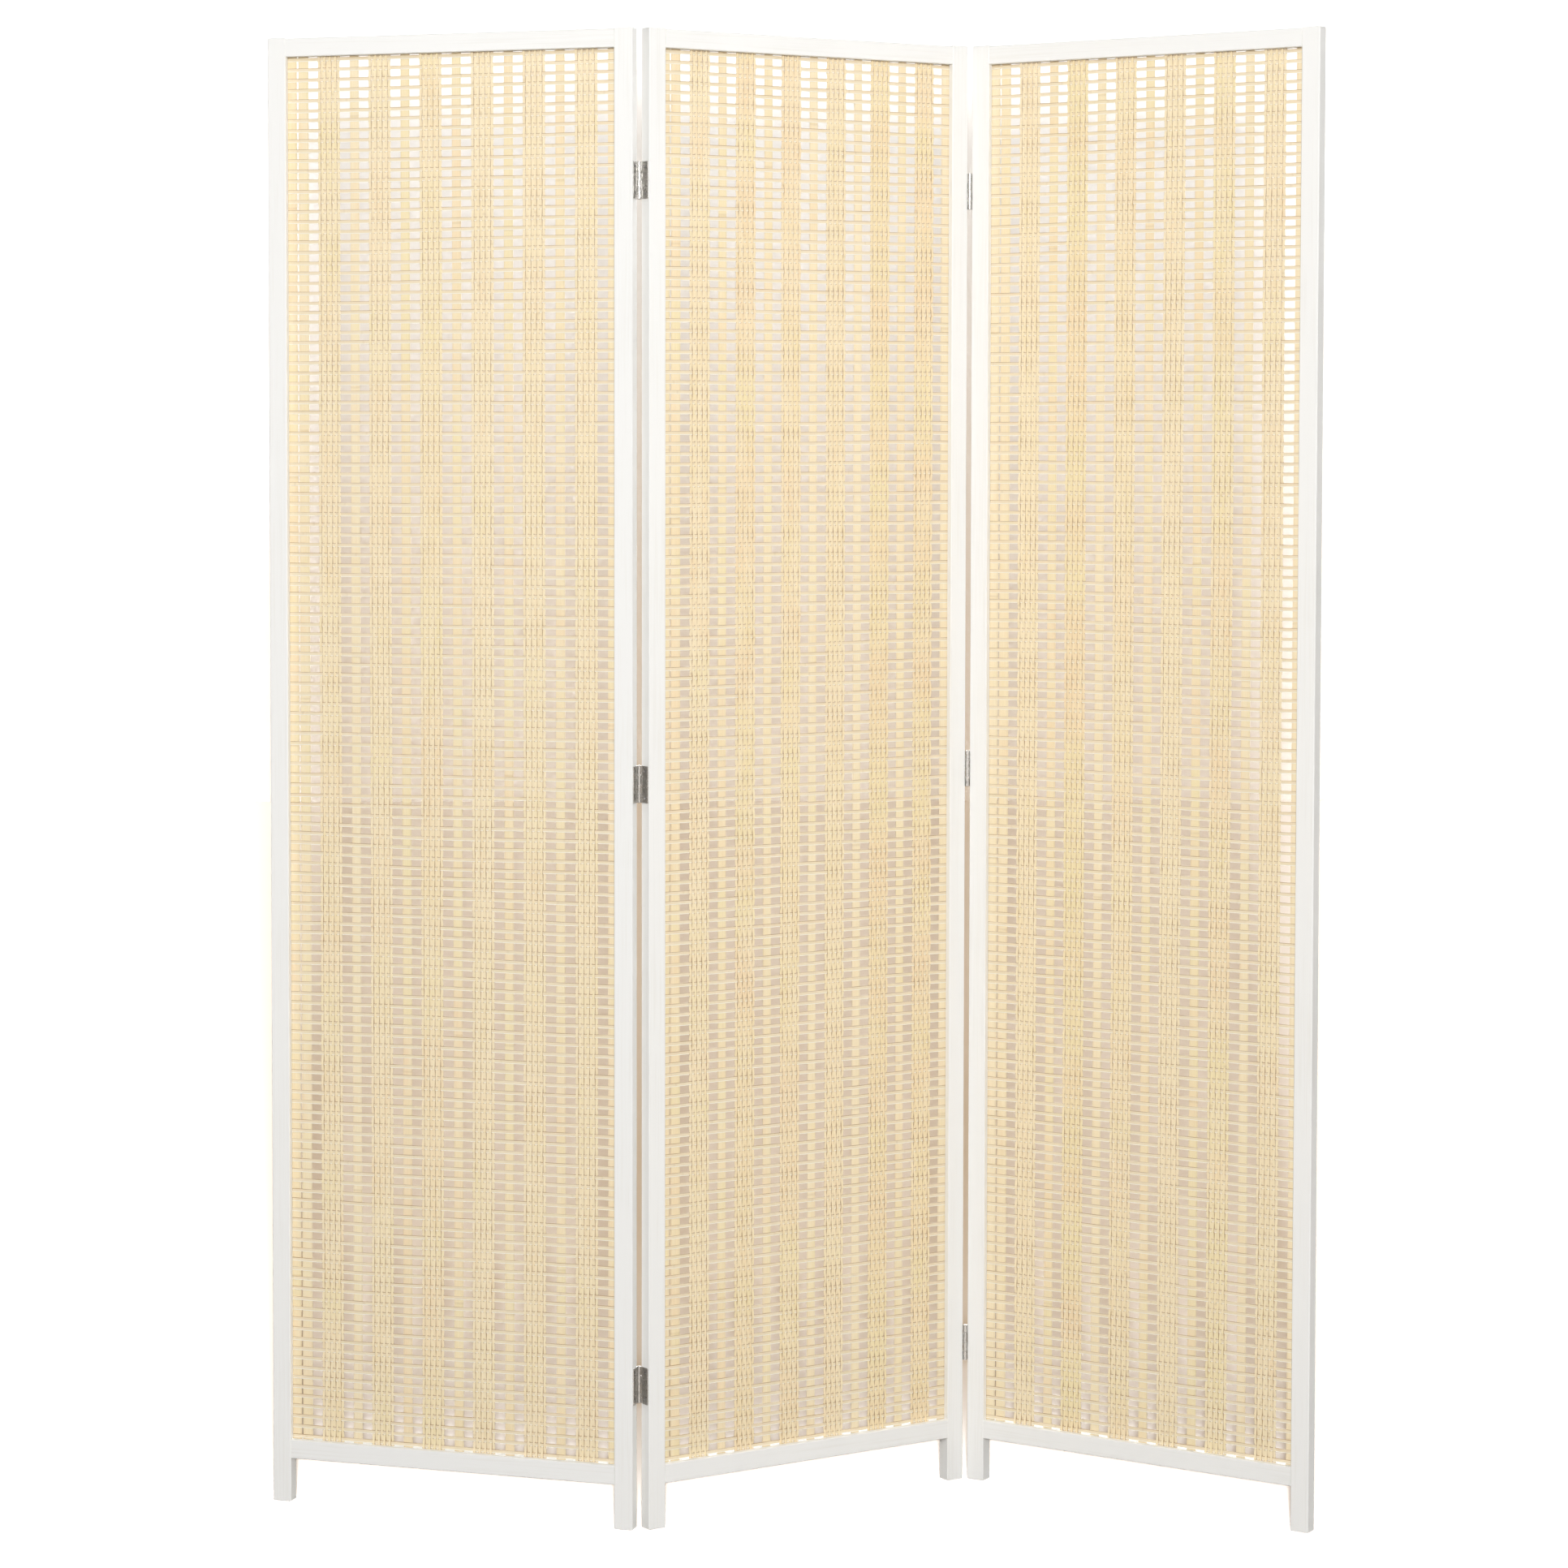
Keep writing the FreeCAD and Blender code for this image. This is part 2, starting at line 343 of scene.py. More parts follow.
@dataclass(frozen=True)
class SplitBamboo:
    """Split bamboo with fine fibres along it, a node now and then, and darker edges and corners.

    The edges are darkened partly for the cut fibres and partly as painted shade between the
    ribbons, and painted shade darkens the corners where a narrow slat bends round a strip. The
    level strips are painted darker and greyer, as painted shade, with a painted highlight along
    their lower edge.
    rim_share, highlight_share and corner_width are shares of a ribbon's width, and rim_flat is the
    part of a rim that is fully dark. The other shares are of a colour.
    """

    pale: Colour = (0.945, 0.82, 0.58, 1)
    straw: Colour = (0.915, 0.792, 0.49, 1)
    peach: Colour = (0.925, 0.75, 0.495, 1)
    # Dark wood for fibre streaks and node rings, and painted shade at edges and corners.
    rim: Colour = (0.38, 0.215, 0.075, 1)
    # Painted shade on the level strips, which are darker and greyer than the slats.
    inner: Colour = (0.78, 0.67, 0.51, 1)
    # Painted highlight along the lower edge of the level strips.
    painted_highlight: Colour = (0.98, 0.94, 0.84, 1)
    ribbons_apart: float = 3.0
    fibre_width: float = 0.0004
    fibre_length: float = 0.06
    fibre_relief: Span = (0.04 * MM, 0.5)
    patch_width: float = 0.009
    patch_length: float = 0.07
    patch_span: Span = (0.35, 0.65)
    tone_chance: float = 0.5
    tone_span: Span = (0.45, 1.05)
    warm_chance: float = 4.0
    warm_scale: float = 9.0
    streak_span: Span = (0.3, 0.8)
    streak_share: float = 0.14
    rim_share: float = 0.18
    rim_flat: float = 0.35
    rim_patch: float = 0.045
    rim_range: Span = (0.4, 1.05)
    strip_shade_share: float = 0.5
    highlight_share: float = 0.32
    node_spacing: float = 0.31
    node_height: float = 0.0024
    node_share: float = 0.2
    # Painted shade in the corners where a narrow slat bends round a strip.
    node_relief: Span = (0.3 * MM, 0.6)
    corner_at: float = 0.19
    corner_height: float = 0.06
    corner_width: float = 0.3
    corner_shade_share: float = 0.9
    roughness: Span = (0.42, 0.6)

    def make(self) -> Material:
        """Makes the bamboo, which reads the numbers that each ribbon holds.

        Returns:
            The material.
        """
        material, graph, shader = new_material("split_bamboo")
        across, over, along = (graph.attribute(name) for name in ("across", "over", "along"))
        chance, strip = self.chance(graph), graph.attribute("strip")
        over = graph.math("ADD", over, graph.times(chance, self.ribbons_apart))
        fibre = graph.noise(graph.patch_place(over, along, self.fibre_width, self.fibre_length),
                            roughness=0.6)
        patch = graph.noise(graph.patch_place(over, along, self.patch_width, self.patch_length))
        joint = self.node_mark(graph, along, chance)
        # Edges darkened partly for cut fibres and partly as painted shade between the ribbons.
        rims = graph.times(self.rim_and_shade_mark(graph, across), self.rim_patches(graph, over, along))
        # Painted highlight along the lower edge of the level strips.
        highlight_mask = graph.rescale(across, (0.0, self.highlight_share), FALLING)
        colour = self.ground(graph, along, chance, patch)
        for share, shade in (
                (graph.rescale(fibre, self.streak_span, (0.0, self.streak_share)), self.rim),
                (graph.times(joint, self.node_share), self.rim),
                # Painted shade in the corners where the slats cross the strips.
                (self.corner_shade_mark(graph, across), self.rim),
                # Level strips painted darker and greyer, as painted shade.
                (graph.times(strip, self.strip_shade_share), self.inner),
                (rims, self.rim),
                (graph.times(highlight_mask, strip), self.painted_highlight)):
            colour = graph.mix(share, colour, shade)
        graph.join(colour, shader.inputs["Base Color"])
        graph.join(graph.rescale(patch, NOISE_REACH, self.roughness), shader.inputs["Roughness"])
        swell = graph.bump(joint, *self.node_relief)
        graph.join(graph.bump(fibre, *self.fibre_relief, swell), shader.inputs["Normal"])
        return material

    def chance(self, graph: ShaderGraph) -> Socket:
        """Gives each ribbon its steady random number.

        Args:
            graph: The bamboo's graph.

        Returns:
            The socket that holds the number.
        """
        made = graph.node("ShaderNodeTexWhiteNoise", noise_dimensions="1D")
        graph.join(graph.attribute("slat"), made.inputs["W"])
        return made.outputs["Value"]

    def ground(self, graph: ShaderGraph, along: object, chance: object, patch: object) -> Socket:
        """Mixes the wood's own colours.

        Args:
            graph: The bamboo's graph.
            along: The place along the ribbon.
            chance: The ribbon's random number.
            patch: The pattern of pale and darker patches.

        Returns:
            The socket that holds the colour.
        """
        tone = graph.math("ADD", patch, graph.times(chance, self.tone_chance))
        warm_place = graph.place(graph.times(chance, self.warm_chance), along)
        warm = graph.rescale(graph.noise(warm_place, self.warm_scale, detail=1.0), self.patch_span)
        darker = graph.mix(warm, self.straw, self.peach)
        return graph.mix(graph.rescale(tone, self.tone_span), self.pale, darker)

    def node_mark(self, graph: ShaderGraph, along: object, chance: object) -> Socket:
        """Marks the thin rings where the cane's nodes were.

        Args:
            graph: The bamboo's graph.
            along: The place along the ribbon.
            chance: The ribbon's random number.

        Returns:
            The socket that holds the mark, 1 on the rings and 0 elsewhere.
        """
        shift = graph.math("ADD", chance, graph.attribute("node_shift"))
        count = graph.math("ADD", graph.math("DIVIDE", along, self.node_spacing), shift)
        from_middle = graph.apart(graph.math("FRACT", count), 0.5)
        return graph.rescale(from_middle, (0.0, self.node_height / self.node_spacing), FALLING)

    def corner_shade_mark(self, graph: ShaderGraph, across: object) -> Socket:
        """Paints shade into the corners where a narrow slat bends round a strip.

        Args:
            graph: The bamboo's graph.
            across: The place across the ribbon, from 0 to 1.

        Returns:
            The socket that holds how dark they are.
        """
        past = graph.apart(graph.math("FRACT", graph.attribute("row")), 0.5)
        height = graph.rescale(graph.apart(past, self.corner_at), (0.0, self.corner_height),
                               (self.corner_shade_share, 0.0))
        side = graph.rescale(graph.apart(across, 0.5), (0.5 - self.corner_width, 0.5))
        return graph.times(height, side, clamp=True)

    def rim_patches(self, graph: ShaderGraph, over: object, along: object) -> Socket:
        """Gives how much the dark edges, partly painted shade, show from place to place."""
        place = graph.patch_place(over, along, self.rim_patch, self.rim_patch)
        return graph.rescale(graph.noise(place, detail=1.0), self.patch_span, self.rim_range)

    def rim_and_shade_mark(self, graph: ShaderGraph, across: object) -> Socket:
        """Marks the dark edges, partly cut fibres and partly painted shade beside the ribbons.

        Args:
            graph: The bamboo's graph.
            across: The place across the ribbon, from 0 to 1.

        Returns:
            The socket that holds how dark they are.
        """
        flat = self.rim_flat * self.rim_share
        low = graph.rescale(across, (flat, self.rim_share), FALLING)
        high = graph.rescale(across, (1.0 - self.rim_share, 1.0 - flat))
        return graph.math("MAXIMUM", graph.times(low, graph.attribute("rim_low")),
                          graph.times(high, graph.attribute("rim_high")), clamp=True)


@dataclass(frozen=True)
class PlatedSteel:
    """Plated steel with fine rolling marks and a few dull patches."""

    name: str = "nickel_steel"
    colour: Colour = (0.48, 0.47, 0.45, 1)
    dull_colour: Colour = (0.3, 0.293, 0.278, 1)
    roughness: Span = (0.22, 0.36)
    mark_width: float = 0.0004
    mark_length: float = 0.02
    mark_relief: Span = (0.02 * MM, 0.3)
    patch_scale: float = 160.0
    dull_span: Span = (0.45, 0.8)

    def make(self) -> Material:
        """Makes the plated steel.

        Returns:
            The material.
        """
        material, graph, shader = new_material(self.name)
        shader.inputs["Metallic"].default_value = 1.0
        fine, long = 1 / self.mark_width, 1 / self.mark_length
        marks = graph.noise(graph.object_place(0, Vector((fine, fine, long))))
        patches = graph.noise(graph.object_place(), self.patch_scale, detail=3.0)
        colour = graph.mix(graph.rescale(patches, self.dull_span), self.colour, self.dull_colour)
        graph.join(colour, shader.inputs["Base Color"])
        graph.join(graph.rescale(patches, NOISE_REACH, self.roughness), shader.inputs["Roughness"])
        graph.join(graph.bump(marks, *self.mark_relief), shader.inputs["Normal"])
        return material


@dataclass(frozen=True)
class ScrewSteel(PlatedSteel):
    """The screws' darker steel."""

    name: str = "screw_steel"
    colour: Colour = (0.3, 0.295, 0.29, 1)
    dull_colour: Colour = (0.17, 0.165, 0.16, 1)
    roughness: Span = (0.3, 0.5)


# Places

@dataclass(frozen=True)
class FrameSizes:
    """Sizes of a panel's frame that the weave and the hinges need."""

    panel_width: float = 440 * MM
    frame_depth: float = 17 * MM
    stile_width: float = 22 * MM

    @property
    def clear_width(self) -> float:
        """Width between the stiles."""
        return self.panel_width - 2 * self.stile_width


@dataclass(frozen=True)
class PanelPlace:
    """Where a panel stands: its front left corner on the floor and its turn about the upright."""

    panel: PanelName
    corner: Vector
    turn: float

    @classmethod
    def from_feet(cls, panel: PanelName, sizes: FrameSizes) -> "PanelPlace":
        """Works out a panel's place from the record's two feet.

        Args:
            panel: The panel.
            sizes: The frame's sizes.

        Returns:
            The panel's place.
        """
        feet = {mount["name"]: Vector(mount["pos_m"]) for mount in frame["record"]["mounts"]}
        left = feet[f"{panel.value}_panel_left_foot"]
        along = (feet[f"{panel.value}_panel_right_foot"] - left).normalized()
        back = Vector((-along.y, along.x, 0))
        corner = left - along * sizes.stile_width / 2 - back * sizes.frame_depth / 2
        return cls(panel, corner, math.degrees(math.atan2(along.y, along.x)))

    def matrix(self) -> Matrix:
        """The panel's own axes in the screen's."""
        turn = Matrix.Rotation(math.radians(self.turn), 4, "Z")
        return Matrix.Translation(self.corner) @ turn

    @property
    def body(self) -> str:
        """The name of the body that the panel's pieces ride on."""
        return f"{self.panel.value}_panel"


# Meshes and objects

def only(kind: type, geometry: list) -> list:
    """Picks one kind of element out of what an operator gives back."""
    return [item for item in geometry if isinstance(item, kind)]


def edges_of(verts: list[Vert]) -> list[Edge]:
    """Lists the edges at some corners, each edge once."""
    return list(dict.fromkeys(edge for vert in verts for edge in vert.link_edges))


def rise_of(edge: Edge) -> float:
    """Gives how far an edge climbs."""
    return abs(edge.verts[0].co.z - edge.verts[1].co.z)


def even_steps(low: float, high: float, steps: int) -> list[float]:
    """Splits a length into even steps, with both ends in the list."""
    return [low + (high - low) * step / steps for step in range(steps + 1)]


def add_object(name: str, data: bpy.types.ID) -> bpy.types.Object:
    """Adds an object to the scene.

    Args:
        name: The object's name.
        data: Its mesh, light or camera.

    Returns:
        The new object.
    """
    made = bpy.data.objects.new(name, data)
    bpy.context.scene.collection.objects.link(made)
    return made


def add_mesh(name: str, mesh: Mesh, material: Material) -> bpy.types.Object:
    """Adds a finished mesh to the scene.

    Args:
        name: The object's name.
        mesh: The mesh, already in its place. It is used up.
        material: Its finish.

    Returns:
        The new object.
    """
    data = bpy.data.meshes.new(name)
    mesh.to_mesh(data)
    mesh.free()
    data.materials.append(material)
    return add_object(name, data)


def add_piece(name: str, mesh: Mesh, material: Material, body: str,
              nodes: tuple[str, ...] = ()) -> bpy.types.Object:
    """Makes a finished mesh a piece of the screen.

    Args:
        name: The piece's name.
        mesh: The mesh, already in its place. It is used up.
        material: The piece's finish.
        body: The body that it rides on.
        nodes: The frame's nodes that it stands for.

    Returns:
        The new object.
    """
    piece = add_mesh(name, mesh, material)
    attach(piece, body)
    if nodes:
        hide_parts(*nodes)
    log.info("%s: %d faces", name, len(piece.data.polygons))
    return piece


# Weave

@dataclass(frozen=True)
class Ring:
    """The middle of one ring of a ribbon, in the panel's own axes, and the row that it lies at.

    A whole row number is half-way between two strips, and a half is the middle of a strip.
    """

    x: float
    y: float
    z: float
    row: float = 0.0


@dataclass(frozen=True)
class Ribbon:
    """What a ribbon is like: its section, which way it runs and the numbers for its finish."""

    width: float
    thickness: float
    number: float
    upright: bool
    rims: Span
    node_shift: float = 0.0
    strip: float = 0.0


@dataclass
class RibbonMaker:
    """Makes long flat ribbons of bamboo in one mesh, each with its own numbers for the finish.

    The numbers are the place across the ribbon from 0 to 1, the places over and along it in
    metres, the row, the slat's own number, the shift of its nodes, how dark its two edges are
    painted, partly for cut fibres and partly as painted shade, and whether it is a level strip.
    """

    mesh: Mesh = field(default_factory=bmesh.new)
    numbers: dict[str, bmesh.types.BMLayerItem] = field(init=False)

    def __post_init__(self) -> None:
        """Adds the numbers that the finish reads."""
        names = "across over along row slat node_shift rim_low rim_high strip".split()
        self.numbers = {name: self.mesh.verts.layers.float.new(name) for name in names}

    def add(self, ribbon: Ribbon, rings: list[Ring]) -> None:
        """Adds a ribbon through a row of rings, cut from a block of size 1.

        Args:
            ribbon: What it is like.
            rings: The middles of its rings, in order.
        """
        block = bmesh.ops.create_cube(self.mesh, size=1.0)["verts"]
        upright = [edge for edge in edges_of(block) if rise_of(edge) > 0.5]
        steps = len(rings) - 1
        cut = bmesh.ops.subdivide_edges(self.mesh, edges=upright, cuts=steps - 1,
                                        use_grid_fill=True)
        for vert in {vert for edge in only(Edge, cut["geom_split"]) for vert in edge.verts}:
            self.place(vert, ribbon, rings[round((vert.co.z + 0.5) * steps)])

    def place(self, vert: Vert, ribbon: Ribbon, ring: Ring) -> None:
        """Moves one corner of a ribbon to its ring and writes its numbers.

        Args:
            vert: The corner, still on the block that the ribbon is cut from.
            ribbon: What the ribbon is like.
            ring: The ring that the corner belongs to.
        """
        across, deep = vert.co.x, vert.co.y * ribbon.thickness
        side = across * ribbon.width
        if ribbon.upright:
            vert.co = Vector((ring.x + side, ring.y + deep, ring.z))
        else:
            vert.co = Vector((ring.x, ring.y + deep, ring.z + side))
        over, along = (vert.co.x, vert.co.z) if ribbon.upright else (vert.co.z, vert.co.x)
        values = {"across": across + 0.5, "over": over, "along": along, "row": ring.row,
                  "slat": ribbon.number, "node_shift": ribbon.node_shift,
                  "rim_low": ribbon.rims[0], "rim_high": ribbon.rims[1], "strip": ribbon.strip}
        for name, value in values.items():
            vert[self.numbers[name]] = value

    def finish(self, matrix: Matrix) -> Mesh:
        """Turns the faces outwards, keeps the cut edges crisp and moves the mesh to its place.

        Args:
            matrix: The panel's axes.

        Returns:
            The mesh.
        """
        bmesh.ops.recalc_face_normals(self.mesh, faces=self.mesh.faces)
        for face in self.mesh.faces:
            face.smooth = True
        for edge in self.mesh.edges:
            edge.smooth = edge.calc_face_angle(0.0) < CRISP_ANGLE
        bmesh.ops.transform(self.mesh, matrix=matrix, verts=self.mesh.verts)
        return self.mesh


@dataclass(frozen=True)
class Weave:
    """A panel's bamboo: level strips, wide slats behind them and bands of narrow woven slats.

    Rims are how dark a ribbon's two edges are painted, partly for cut fibres and partly as
    painted shade. Waves are how fast a wander changes, and numbers set panels, ribbons and
    wanders apart.
    """

    place: PanelPlace
    sizes: FrameSizes
    finish: Material
    slat_thickness: float = 0.6 * MM
    strip_thickness: float = 0.6 * MM
    strip_height: float = 4.1 * MM
    strip_pitch: float = 11.6 * MM
    end_strip_offset: float = 3.4 * MM
    band_count: int = 6
    narrow_slats_per_band: int = 8
    narrow_slat_width: float = 3.2 * MM
    narrow_slat_pitch: float = 3.32 * MM
    pair_spread: float = 0.03 * MM
    # Edge darkness: partly cut fibres, partly painted shade in the gaps between slats.
    pair_rims: Span = (0.05, 0.8)
    wide_rims: Span = (0.12, 0.12)
    strip_rims: Span = (0.0, 0.9)
    single_slat_width: float = 10.9 * MM
    left_edge_slat_width: float = 10.4 * MM
    left_edge_slit: float = 1.9 * MM
    left_inner_slat_width: float = 12.2 * MM
    right_edge_slat_width: float = 9.6 * MM
    bite: float = 5.0 * MM
    crossing_clearance: float = 0.25 * MM
    strip_drift: float = 2.4 * MM
    strip_waves: Span = (4.2, 0.16)
    strip_own_drift: float = 0.9 * MM
    strip_own_waves: Span = (2.1, 5.3)
    slat_drift: float = 0.7 * MM
    slat_waves: Span = (3.1, 2.3)
    calm_rows: int = 4
    strip_steps: int = 12
    wide_slat_steps: int = 30
    panel_numbers: float = 11.0
    strip_own_numbers: float = 5.0
    slat_drift_numbers: float = 20.0
    wide_slat_drift_numbers: int = 40
    ribbon_numbers: float = 0.37
    band_numbers: float = 10.0
    wide_slat_numbers: float = 70.0

    @property
    def name(self) -> str:
        """What the panel's pieces are called after."""
        return f"{self.place.panel.value}_panel"

    @property
    def seed(self) -> float:
        """A number that sets the panel's wander apart from the others'."""
        return self.panel_numbers * (1 + list(PanelName).index(self.place.panel))

    @property
    def window(self) -> Span:
        """Lower and upper side of the opening, from the frame's rails."""
        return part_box(f"{self.name}_bottom_rail")[1].z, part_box(f"{self.name}_top_rail")[0].z

    @property
    def middle_depth(self) -> float:
        """Depth of the middle of the weave, behind the panel's front face."""
        return self.sizes.frame_depth / 2

    @property
    def layer_step(self) -> float:
        """Depth between the middle of a strip and of a slat that crosses it."""
        return (self.slat_thickness + self.strip_thickness) / 2

    @property
    def band_width(self) -> float:
        """Width of a band of narrow slats."""
        return self.narrow_slats_per_band * self.narrow_slat_pitch

    @property
    def left_edge_width(self) -> float:
        """Width of the two wide slats beside the left stile, with the slit between them."""
        return self.left_edge_slat_width + self.left_edge_slit + self.left_inner_slat_width

    @property
    def open_column_width(self) -> float:
        """Width of the open columns, which share what the slats leave.

        Returns:
            The width of one.
        """
        singles = (self.band_count - 1) * self.single_slat_width
        bands = self.band_count * self.band_width
        solid = self.left_edge_width + singles + bands + self.right_edge_slat_width
        return (self.sizes.clear_width - solid) / (2 * self.band_count)

    def band_lefts(self) -> list[float]:
        """Lists the left side of each band.

        Returns:
            The places across the panel.
        """
        first = self.sizes.stile_width + self.left_edge_width + self.open_column_width
        pitch = self.band_width + 2 * self.open_column_width + self.single_slat_width
        return [first + band * pitch for band in range(self.band_count)]

    def row_heights(self) -> list[float]:
        """Lists the height of the middle of each level strip.

        Returns:
            The heights, from the bottom up.
        """
        low, high = self.window
        first, last = low + self.end_strip_offset, high - self.end_strip_offset
        return even_steps(first, last, round((last - first) / self.strip_pitch))

    def wander(self, first: float, second: float, waves: Span, apart: float = 0.0) -> float:
        """Gives a smooth random number for two places, on the panel's own pattern."""
        return noise.noise(Vector((first * waves[0], second * waves[1], self.seed + apart)))

    def strip_rise(self, row: int, rows: int, x: float) -> float:
        """Gives how far a strip has wandered up or down. Near the rails it hardly does.

        Args:
            row: The strip's row, from the bottom.
            rows: How many rows there are.
            x: The place across the panel.

        Returns:
            The rise.
        """
        near_rail = min(1.0, row / self.calm_rows, (rows - 1 - row) / self.calm_rows)
        shared = self.wander(x, row, self.strip_waves) * self.strip_drift
        own = self.wander(x, row, self.strip_own_waves, self.strip_own_numbers)
        return near_rail * (shared + own * self.strip_own_drift)

    def slat_shift(self, number: float, z: float) -> float:
        """Gives how far a slat or band has wandered sideways at a height."""
        return self.wander(number, z, self.slat_waves, self.slat_drift_numbers) * self.slat_drift

    def strips(self) -> Mesh:
        """Makes the level strips, which wander a little between the stiles.

        Returns:
            The mesh, in place.
        """
        maker = RibbonMaker()
        heights = self.row_heights()
        first = self.sizes.stile_width - self.bite
        last = first + self.sizes.clear_width + 2 * self.bite
        for row, z in enumerate(heights):
            rings = [Ring(x, self.middle_depth, z + self.strip_rise(row, len(heights), x))
                     for x in even_steps(first, last, self.strip_steps)]
            number = self.seed + row * self.ribbon_numbers
            maker.add(Ribbon(self.strip_height, self.strip_thickness, number, False,
                             self.strip_rims, strip=1.0), rings)
        return maker.finish(self.place.matrix())

    def narrow_slats(self, layer: Layer) -> Mesh:
        """Makes every second narrow slat of each band, woven over and under the strips.

        Args:
            layer: Whether these slats start in front of the first strip or behind it.

        Returns:
            The mesh, in place.
        """
        maker = RibbonMaker()
        spread, rims = ((-self.pair_spread, self.pair_rims) if layer is Layer.FRONT
                        else (self.pair_spread, self.pair_rims[::-1]))
        for band, left in enumerate(self.band_lefts()):
            number = self.seed + band * self.band_numbers
            for place in range(layer.value, self.narrow_slats_per_band, 2):
                x = left + (place + 0.5) * self.narrow_slat_pitch + spread
                ribbon = Ribbon(self.narrow_slat_width, self.slat_thickness, number, True,
                                rims, place * self.ribbon_numbers)
                maker.add(ribbon, self.woven_rings(x, band, layer))
        return maker.finish(self.place.matrix())

    def woven_rings(self, x: float, band: int, layer: Layer) -> list[Ring]:
        """Works out a narrow slat, which passes in front of a strip and behind it by turns.

        Args:
            x: The slat's place across the panel.
            band: Its band.
            layer: Whether it starts in front of the first strip or behind it.

        Returns:
            Its rings, two at each strip and one at each end.
        """
        low, high = self.window
        heights = self.row_heights()
        reach = self.strip_height / 2 + self.crossing_clearance
        share = reach / self.strip_pitch
        rings = [Ring(x, self.depth_of(layer.value), low - self.bite)]
        for row, height in enumerate(heights):
            z = height + self.strip_rise(row, len(heights), x)
            at = x + self.slat_shift(band, height)
            depth = self.depth_of(row + layer.value)
            rings += [Ring(at, depth, z + way * reach, row + 0.5 + way * share)
                      for way in (-1, 1)]
        last = len(heights)
        rings.append(Ring(x, self.depth_of(last - 1 + layer.value), high + self.bite, last))
        return rings

    def depth_of(self, turn: int) -> float:
        """Depth of a slat's middle, which is in front of a strip at even turns."""
        return self.middle_depth + (self.layer_step if turn % 2 else -self.layer_step)

    def wide_slat_spans(self) -> list[Span]:
        """Lists the sides of the wide slats. The first and the last are held by the stiles.

        Returns:
            The left and right side of each, from left to right.
        """
        left = self.sizes.stile_width
        inner = left + self.left_edge_slat_width + self.left_edge_slit
        right = self.sizes.panel_width - self.sizes.stile_width
        spans = [(left - self.bite, left + self.left_edge_slat_width),
                 (inner, inner + self.left_inner_slat_width)]
        for band_left in self.band_lefts()[:-1]:
            start = band_left + self.band_width + self.open_column_width
            spans.append((start, start + self.single_slat_width))
        return spans + [(right - self.right_edge_slat_width, right + self.bite)]

    def wide_slats(self) -> Mesh:
        """Makes the single slats between the bands and those beside the stiles.

        Returns:
            The mesh, in place. All of it is behind the strips.
        """
        maker = RibbonMaker()
        low, high = self.window
        spans = self.wide_slat_spans()
        for number, (start, end) in enumerate(spans):
            rings = []
            in_groove = number in (0, len(spans) - 1)
            for z in even_steps(low - self.bite, high + self.bite, self.wide_slat_steps):
                wanderer = self.wide_slat_drift_numbers + number
                shift = 0.0 if in_groove else self.slat_shift(wanderer, z)
                rings.append(Ring((start + end) / 2 + shift, self.depth_of(1), z))
            maker.add(Ribbon(end - start, self.slat_thickness,
                             self.seed + self.wide_slat_numbers + number, True,
                             self.wide_rims), rings)
        return maker.finish(self.place.matrix())

    def build(self) -> None:
        """Adds the panel's four pieces of bamboo."""
        parts = {
            "cross_strips": self.strips(),
            "front_narrow_slats": self.narrow_slats(Layer.FRONT),
            "back_narrow_slats": self.narrow_slats(Layer.BACK),
            "wide_slats": self.wide_slats(),
        }
        for part, mesh in parts.items():
            node = f"{self.name}_{part}"
            add_piece(f"woven_{node}", mesh, self.finish, self.place.body, (node,))


@dataclass(frozen=True)
class PanelFrame:
    """A panel's two stiles and two rails, which keep the frame's meshes."""

    place: PanelPlace
    paint: WhitePaint

    def dress(self) -> None:
        """Paints the four members."""
        for member, parts in ((Member.UPRIGHT, ("left_stile", "right_stile")),
                              (Member.RAIL, ("top_rail", "bottom_rail"))):
            material = self.paint.make(member, self.place.turn)
            for part in parts:
                node = frame["nodes"][f"{self.place.body}_{part}"]
                for slot in node.material_slots:
                    slot.material = material
                log.info("%s: painted", node.name)


# Hinges

